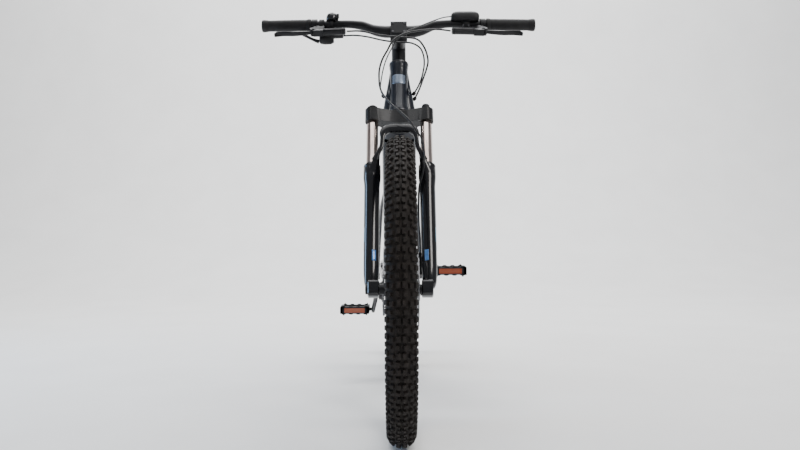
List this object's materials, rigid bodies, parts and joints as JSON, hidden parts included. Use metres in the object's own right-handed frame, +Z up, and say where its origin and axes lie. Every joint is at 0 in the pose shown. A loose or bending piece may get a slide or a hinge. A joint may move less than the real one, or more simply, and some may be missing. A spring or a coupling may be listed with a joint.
{
  "type": "mountain bike",
  "caption": "Hardtail mountain bike with suspension fork, disc brakes, wide battery down tube, drive unit at the cranks, platform pedals, bell and bar display.",
  "frame": {"origin": "on the ground under the middle of the bike's length, on its centre plane", "axes": "+Z up, -Y the way the bike points, +X the rider's left"},
  "size_m": [0.747, 1.878, 1.0974],
  "materials": {
    "frame_paint": "gloss dark blue-black",
    "fork_paint": "gloss black",
    "black_alloy": "satin black anodised",
    "chromed_steel": "polished",
    "rotor_steel": "brushed",
    "tyre_rubber": "matte",
    "grip_rubber": "matte",
    "black_plastic": "satin",
    "bell_metal": "gloss",
    "saddle_cover": "synthetic, matte",
    "reflector": "clear orange"
  },
  "bodies": {
    "frame": {"head_tube": "frame_paint", "top_tube": "frame_paint", "down_tube": "frame_paint", "battery_pack": "black_plastic", "seat_tube": "frame_paint", "drive_unit": "black_plastic", "rear_stay_left": "frame_paint", "rear_stay_right": "frame_paint", "brake_caliper_rear": "black_alloy", "rear_axle": "black_alloy", "chain": "rotor_steel"},
    "seat": {"seat_post": "black_alloy", "saddle_rails": "chromed_steel", "saddle": "saddle_cover"},
    "steering": {"steerer_crown": "fork_paint", "stanchion_left": "chromed_steel", "stanchion_right": "chromed_steel", "stem": "black_alloy", "stem_faceplate": "black_alloy", "handlebar": "black_alloy", "grip_left": "grip_rubber", "grip_right": "grip_rubber", "brake_lever_body_left": "black_alloy", "brake_lever_body_right": "black_alloy", "shifter_body": "black_plastic", "bell": "bell_metal", "display": "black_plastic", "brake_hose_front": "grip_rubber", "brake_hose_rear": "grip_rubber", "shift_cable": "grip_rubber", "display_cable": "grip_rubber"},
    "lockout_knob": {"fork_lockout_knob": "black_alloy"},
    "left_lever": {"brake_lever_left": "black_alloy"},
    "right_lever": {"brake_lever_right": "black_alloy"},
    "thumb_lever": {"shifter_thumb_lever": "black_plastic"},
    "striker": {"bell_striker": "bell_metal"},
    "button": {"display_button": "black_plastic"},
    "lowers": {"fork_lowers": "fork_paint", "brake_caliper_front": "black_alloy", "front_axle": "black_alloy"},
    "front_wheel": {"tyre_front": "tyre_rubber", "rim_front": "black_alloy", "hub_and_spokes_front": "black_alloy", "brake_rotor_front": "rotor_steel"},
    "rear_wheel": {"tyre_rear": "tyre_rubber", "rim_rear": "black_alloy", "hub_and_spokes_rear": "black_alloy", "brake_rotor_rear": "rotor_steel"},
    "sprockets": {"cassette": "rotor_steel"},
    "cranks": {"crank_arm_left": "black_alloy", "crank_arm_right": "black_alloy", "chainring": "rotor_steel"},
    "left_pedal": {"pedal_left": "black_plastic", "pedal_reflector_left": "reflector"},
    "right_pedal": {"pedal_right": "black_plastic", "pedal_reflector_right": "reflector"},
    "derailleur": {"derailleur_body": "black_plastic"},
    "cage": {"derailleur_cage": "rotor_steel"},
    "upper_pulley": {"guide_pulley": "black_plastic"},
    "lower_pulley": {"tension_pulley": "black_plastic"}
  },
  "joints": [
    {"name": "steering", "type": "hinge", "parent": "frame", "child": "steering", "pos_m": [0, -0.53335, 0.3482], "axis": [0, 0.3827, 0.9239], "range_deg": [-75, 75], "deforming": ["brake_hose_rear", "shift_cable", "display_cable"]},
    {"name": "fork_travel", "type": "slide", "parent": "steering", "child": "lowers", "axis": [0, 0.3827, 0.9239], "range_m": [0, 0.09], "stiffness_N_per_m": 6000, "springref_m": -0.01, "deforming": ["brake_hose_front"]},
    {"name": "fork_lockout", "type": "hinge", "parent": "steering", "child": "lockout_knob", "pos_m": [0.07, -0.37151, 0.82777], "axis": [0, 0.3827, 0.9239], "range_deg": [0, 90]},
    {"name": "front_wheel_spin", "type": "hinge", "parent": "lowers", "child": "front_wheel", "pos_m": [0, -0.574, 0.365], "axis": [1, 0, 0], "continuous": true},
    {"name": "rear_wheel_spin", "type": "hinge", "parent": "frame", "child": "rear_wheel", "pos_m": [0, 0.574, 0.365], "axis": [1, 0, 0], "continuous": true},
    {"name": "crank_spin", "type": "hinge", "parent": "frame", "child": "cranks", "pos_m": [0, 0.119, 0.309], "axis": [1, 0, 0], "continuous": true},
    {"name": "cassette_spin", "type": "hinge", "parent": "frame", "child": "sprockets", "pos_m": [0, 0.574, 0.365], "axis": [1, 0, 0], "continuous": true},
    {"name": "pedal_left_spin", "type": "hinge", "parent": "cranks", "child": "left_pedal", "pos_m": [0.15, -0.03437, 0.38233], "axis": [1, 0, 0], "continuous": true},
    {"name": "pedal_right_spin", "type": "hinge", "parent": "cranks", "child": "right_pedal", "pos_m": [-0.15, 0.27237, 0.23567], "axis": [1, 0, 0], "continuous": true},
    {"name": "brake_lever_left", "type": "hinge", "parent": "steering", "child": "left_lever", "pos_m": [0.23299, -0.33578, 1.036], "axis": [0.0636, -0.5759, 0.8151], "range_deg": [0, 16], "stiffness_Nm_per_rad": 1.5, "springref_deg": -11.46},
    {"name": "brake_lever_right", "type": "hinge", "parent": "steering", "child": "right_lever", "pos_m": [-0.23299, -0.33578, 1.036], "axis": [0.0636, 0.5759, -0.8151], "range_deg": [0, 16], "stiffness_Nm_per_rad": 1.5, "springref_deg": -11.46},
    {"name": "shifter_thumb", "type": "hinge", "parent": "steering", "child": "thumb_lever", "pos_m": [-0.215, -0.308, 1.018], "axis": [0, 0, 1], "range_deg": [0, 10], "stiffness_Nm_per_rad": 0.5, "springref_deg": -11.46},
    {"name": "bell_striker", "type": "hinge", "parent": "steering", "child": "striker", "pos_m": [-0.164, -0.3155, 1.078], "axis": [0, 0, 1], "range_deg": [0, 25], "stiffness_Nm_per_rad": 0.1, "springref_deg": -5.73},
    {"name": "display_button", "type": "slide", "parent": "steering", "child": "button", "axis": [0, 0, -1], "range_m": [0, 0.002], "stiffness_N_per_m": 400, "springref_m": -0.001},
    {"name": "seatpost_height", "type": "slide", "parent": "frame", "child": "seat", "axis": [0, 0.2756, 0.9613], "range_m": [-0.12, 0.05]},
    {"name": "derailleur_shift", "type": "slide", "parent": "frame", "child": "derailleur", "axis": [0.6248, 0, -0.7808], "range_m": [-0.0256, 0.0256]},
    {"name": "derailleur_cage", "type": "hinge", "parent": "derailleur", "child": "cage", "pos_m": [-0.053, 0.586, 0.277], "axis": [1, 0, 0], "range_deg": [-25, 20], "stiffness_Nm_per_rad": 3, "deforming": ["chain"]},
    {"name": "guide_pulley_spin", "type": "hinge", "parent": "cage", "child": "upper_pulley", "pos_m": [-0.052, 0.586, 0.277], "axis": [1, 0, 0], "continuous": true},
    {"name": "tension_pulley_spin", "type": "hinge", "parent": "cage", "child": "lower_pulley", "pos_m": [-0.052, 0.544, 0.215], "axis": [1, 0, 0], "continuous": true}
  ],
  "couplings": [
    {"joint": "cassette_spin", "follows": "crank_spin", "ratio": 1.8095},
    {"joint": "guide_pulley_spin", "follows": "crank_spin", "ratio": -3.4545},
    {"joint": "tension_pulley_spin", "follows": "crank_spin", "ratio": 3.4545}
  ]
}
